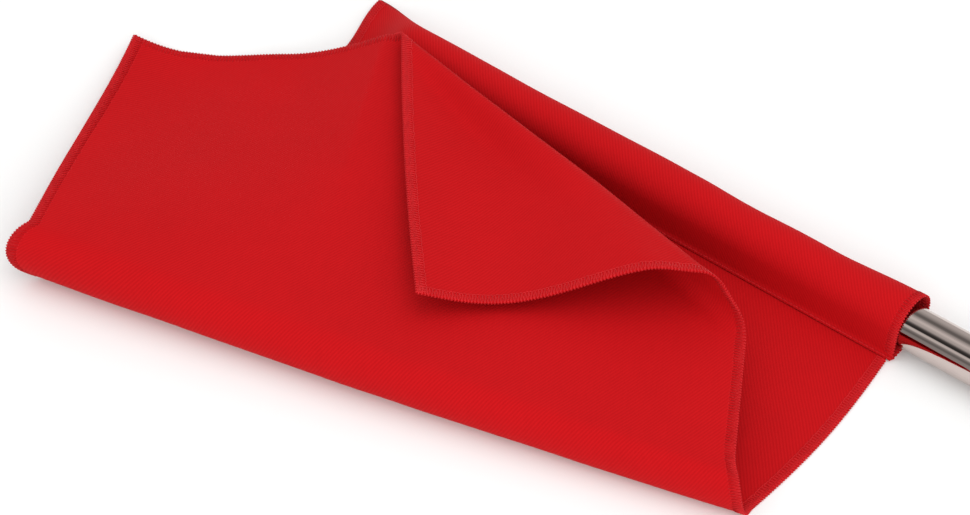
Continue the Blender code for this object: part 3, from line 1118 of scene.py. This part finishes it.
class HAND_FLAG_OT_sleeve(bpy.types.Operator):
    """Makes the sleeve, its seam and the threads at its two ends"""

    bl_idname = "hand_flag.sleeve"
    bl_label = "Sleeve"

    def execute(self, context):
        settings = context.scene.hand_flag_cloth
        girth = sleeve_girth()
        bm = patch((-SLEEVE_LENGTH, 0), (0, girth + SEAM_LAP), settings.cell * 0.8)
        mesh = cloth_mesh(bm, "sleeve_cloth", lambda x, s: sleeve_place(x, s / girth))
        cloth = look("red_twill", twill_material)
        sleeve = show("sleeve_cloth", mesh, cloth, "sleeve")
        thicken(sleeve, settings.thickness)
        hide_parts("pole_sleeve")

        sewing = context.scene.hand_flag_thread
        half = settings.thickness / 2

        def open_end(along, inward, height):
            return sleeve_place(-inward, along / girth, height)

        def closed_end(along, inward, height):
            """Both plies of the pressed end are sewn as one thick edge."""
            share = 0.5 * along / SLEEVE_FLAT_WIDTH
            lower = sleeve_middle(-SLEEVE_LENGTH + inward, share)
            upper = sleeve_middle(-SLEEVE_LENGTH + inward, 1 - share)
            return (lower + upper) / 2 + UP * height + PLACE

        ply = (PLY_SPACING + settings.thickness) / 2
        for name, node, paths in (
            ("mouth_threads", "sleeve_mouth_overlock", overlock(girth, open_end, sewing, half)),
            (
                "tip_threads",
                "sleeve_tip_stitching",
                overlock(SLEEVE_FLAT_WIDTH, closed_end, sewing, ply),
            ),
            ("seam_threads", "sleeve_seam_stitching", [self.seam_stitches(sewing, half)]),
        ):
            sewn(name, node, paths, sewing.radius, "sleeve")
        return {"FINISHED"}

    def seam_stitches(self, sewing, half):
        """One lockstitch thread along the seam, dipping between stitches."""
        girth = sleeve_girth()
        share = 1 + SEAM_STITCH_SHARE * SEAM_LAP / girth
        count = round(SLEEVE_LENGTH / sewing.seam_pitch)
        pitch = SLEEVE_LENGTH / count
        proud = half + sewing.radius * 0.8
        path = []
        for index in range(count):
            start = -SLEEVE_LENGTH + index * pitch
            for along, lift in ((0.06, -half), (0.14, proud), (0.86, proud), (0.94, -half)):
                path.append(sleeve_place(start + along * pitch, share) + UP * lift)
        return path


class HAND_FLAG_OT_tube(bpy.types.Operator):
    """Makes the polished steel tube"""

    bl_idname = "hand_flag.tube"
    bl_label = "Tube"

    def execute(self, context):
        inner = TUBE_RADIUS - TUBE_WALL
        edge = TUBE_WALL * 0.4
        profile = [(POLE_TIP, inner)]
        profile += rounded_corner(POLE_TIP, TUBE_RADIUS, 1, -1, edge)[::-1]
        profile += rounded_corner(POLE_BUTT, TUBE_RADIUS, -1, -1, edge)
        profile += [(POLE_BUTT, inner)]
        mesh = turned_mesh("steel_tube", profile, closed=True)
        steel = look("polished_steel", steel_material)
        tube = show("steel_tube", mesh, steel, "pole")
        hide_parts("pole_tube")
        return {"FINISHED"}


class HAND_FLAG_OT_ends(bpy.types.Operator):
    """Makes the plug in the tube's tip and the cap on its butt"""

    bl_idname = "hand_flag.ends"
    bl_label = "Plastic Ends"

    def execute(self, context):
        plastic = look("black_plastic", plastic_material)
        spigot = TUBE_RADIUS - TUBE_WALL - GAP
        seat = POLE_TIP - GAP
        head = seat - TIP_PLUG_HEAD
        end = seat + TIP_PLUG_SPIGOT
        profile = [(head, 0)]
        profile += rounded_corner(head, TUBE_RADIUS, 1, -1, PLASTIC_ROUNDING)[::-1]
        profile += [(seat, TUBE_RADIUS), (seat, spigot), (end - SPIGOT_CHAMFER[0], spigot)]
        profile += [(end, spigot - SPIGOT_CHAMFER[1]), (end, 0)]
        mesh = turned_mesh("tip_plug_moulding", profile, closed=False)
        plug = show("tip_plug_moulding", mesh, plastic, "pole")
        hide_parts("tip_plug")

        bore = TUBE_RADIUS + GAP
        floor = POLE_BUTT + GAP
        outside = floor + BUTT_CAP_END
        mouth = floor - BUTT_CAP_LENGTH
        profile = [(floor, 0), (floor, bore), (mouth, bore)]
        profile += rounded_corner(mouth, AXIS_HEIGHT, 1, -1, CAP_MOUTH_ROUNDING)[::-1]
        profile += rounded_corner(outside, AXIS_HEIGHT, -1, -1, PLASTIC_ROUNDING)
        profile += [(outside, 0)]
        mesh = turned_mesh("butt_cap_moulding", profile, closed=False)
        cap = show("butt_cap_moulding", mesh, plastic, "pole")
        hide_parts("butt_cap")
        return {"FINISHED"}


# ---------------------------------------------------------------- stage


def facing(place, target):
    """The matrix of something at place that looks at target, held level."""
    back = (place - target).normalized()
    right = UP.cross(back).normalized()
    up = back.cross(right)
    turn = Matrix((right, up, back)).transposed().to_4x4()
    return Matrix.Translation(place) @ turn


def soft_light(name, place, size, power):
    lamp = bpy.data.lights.new(name, "AREA")
    lamp.shape = "RECTANGLE"
    lamp.size, lamp.size_y = size
    lamp.energy = power
    made = bpy.data.objects.new(name, lamp)
    made.matrix_world = facing(Vector(place), Vector(LIGHT_TARGET))
    made.visible_glossy = False
    bpy.context.scene.collection.objects.link(made)
    return made


def room_world():
    """An evenly bright room, which shows as long soft bands in the tube."""
    world = bpy.data.worlds.new("studio")
    world.use_nodes = True
    n = Nodes(world.node_tree)
    background = world.node_tree.nodes["Background"]
    direction = n.add("ShaderNodeSeparateXYZ")
    n.feed(direction, 0, n.add("ShaderNodeTexCoord").outputs["Generated"])
    angle = n.math("ARCTAN2", direction.outputs[2], direction.outputs[1])
    ramp = n.add("ShaderNodeValToRGB")
    n.feed(ramp, "Fac", n.math("DIVIDE", angle, pi))
    bands = ramp.color_ramp.elements
    while len(bands) < len(ROOM_BANDS):
        bands.new(0.5)
    for band, (place, level) in zip(bands, ROOM_BANDS):
        band.position = place
        band.color = (*(level * part for part in ROOM_TINT), 1)
    path = n.add("ShaderNodeLightPath")
    fill = n.blend(path.outputs["Is Diffuse Ray"], ramp.outputs[0], (ROOM_FILL,) * 3)
    backdrop = n.blend(path.outputs["Is Camera Ray"], fill, (BACKDROP,) * 3)
    n.feed(background, "Color", backdrop)
    return world


class HAND_FLAG_OT_stage(bpy.types.Operator):
    """Makes the pale floor, the soft studio lights and the camera"""

    bl_idname = "hand_flag.stage"
    bl_label = "Stage"

    def execute(self, context):
        scene = context.scene
        settings = scene.hand_flag_stage
        bm = bmesh.new()
        bmesh.ops.create_grid(bm, x_segments=8, y_segments=8, size=FLOOR_REACH)
        mesh = bpy.data.meshes.new("floor")
        bm.to_mesh(mesh)
        bm.free()
        mesh.materials.append(look("pale_floor", floor_material))
        floor = bpy.data.objects.new("floor", mesh)
        scene.collection.objects.link(floor)

        soft_light("key_light", KEY_PLACE, KEY_SIZE, settings.key_power)
        soft_light("top_light", TOP_PLACE, TOP_SIZE, settings.top_power)
        scene.world = room_world()
        scene.view_settings.view_transform = "Standard"

        camera = bpy.data.cameras.new("camera")
        camera.lens = settings.lens
        camera.sensor_width = CAMERA_SENSOR
        camera.clip_start = CAMERA_CLIP
        holder = bpy.data.objects.new("camera", camera)
        a, e = CAMERA_AZIMUTH, CAMERA_ELEVATION
        back = Vector((sin(a) * cos(e), -cos(a) * cos(e), sin(e)))
        eye = CAMERA_TARGET + back * CAMERA_DISTANCE
        holder.matrix_world = facing(eye, CAMERA_TARGET)
        scene.collection.objects.link(holder)
        scene.camera = holder
        return {"FINISHED"}


# ---------------------------------------------------------------- add-on


class HAND_FLAG_PT_pieces(bpy.types.Panel):
    """Lists the flag's pieces and their settings"""

    bl_idname = "HAND_FLAG_PT_pieces"
    bl_label = "Hand Signal Flag"
    bl_space_type = "VIEW_3D"
    bl_region_type = "UI"
    bl_category = "Hand Flag"

    def draw(self, context):
        layout = self.layout
        layout.use_property_split = True
        for title, holder in SETTINGS.items():
            box = layout.box()
            box.label(text=title)
            group = getattr(context.scene, holder)
            for name in group.__annotations__:
                box.prop(group, name)
        for operator in OPERATORS:
            layout.operator(operator.bl_idname)


SETTINGS = {
    "Cloth": "hand_flag_cloth",
    "Thread": "hand_flag_thread",
    "Pole": "hand_flag_pole",
    "Stage": "hand_flag_stage",
}
GROUPS = (HandFlagCloth, HandFlagThread, HandFlagPole, HandFlagStage)
OPERATORS = (
    HAND_FLAG_OT_tube,
    HAND_FLAG_OT_ends,
    HAND_FLAG_OT_sleeve,
    HAND_FLAG_OT_panel,
    HAND_FLAG_OT_hems,
    HAND_FLAG_OT_stage,
)
CLASSES = (*GROUPS, *OPERATORS, HAND_FLAG_PT_pieces)


def register():
    for made in CLASSES:
        bpy.utils.register_class(made)
    for holder, group in zip(SETTINGS.values(), GROUPS):
        setattr(bpy.types.Scene, holder, PointerProperty(type=group))


def unregister():
    for holder in SETTINGS.values():
        delattr(bpy.types.Scene, holder)
    for made in reversed(CLASSES):
        bpy.utils.unregister_class(made)


def main():
    register()
    bpy.ops.hand_flag.tube()
    bpy.ops.hand_flag.ends()
    bpy.ops.hand_flag.sleeve()
    bpy.ops.hand_flag.panel()
    bpy.ops.hand_flag.hems()
    bpy.ops.hand_flag.stage()


if __name__ == "__main__":
    main()
